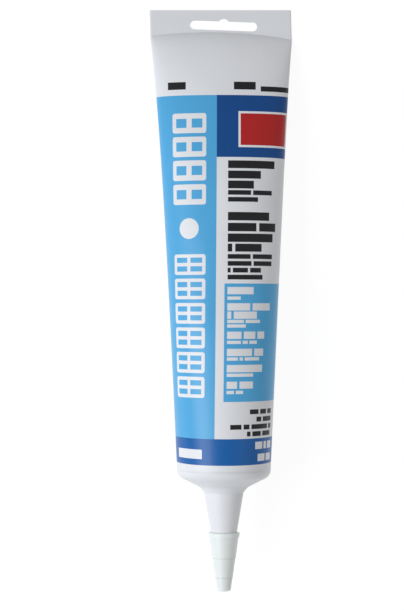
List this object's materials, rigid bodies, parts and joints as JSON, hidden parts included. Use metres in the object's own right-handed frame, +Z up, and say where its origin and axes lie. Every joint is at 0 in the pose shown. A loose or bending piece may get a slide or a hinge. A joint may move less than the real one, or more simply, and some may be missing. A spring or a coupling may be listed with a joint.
{
  "type": "caulk tube",
  "caption": "Filled squeeze tube with a flat crimped tail, a hang slot, a round shoulder and a long conical nozzle under a pull-off cap, lying on its side.",
  "frame": {"origin": "middle of the footprint, on the surface that the tube lies on", "axes": "+X across the tube, +Y towards the flat tail and -Y towards the nozzle, +Z up"},
  "size_m": [0.0596, 0.2394, 0.0379],
  "materials": {
    "tube_film": "satin white polyethylene sleeve and head, with fields of blue print",
    "cap_plastic": "natural polyethylene, slightly translucent, satin"
  },
  "bodies": {
    "filled_tube": {"tube": "tube_film"},
    "cap": {"nozzle_cap": "cap_plastic"}
  },
  "joints": [
    {"name": "cap_pull", "type": "slide", "parent": "filled_tube", "child": "cap", "axis": [0, -0.9986, 0.0523], "range_m": [0, 0.03]}
  ]
}
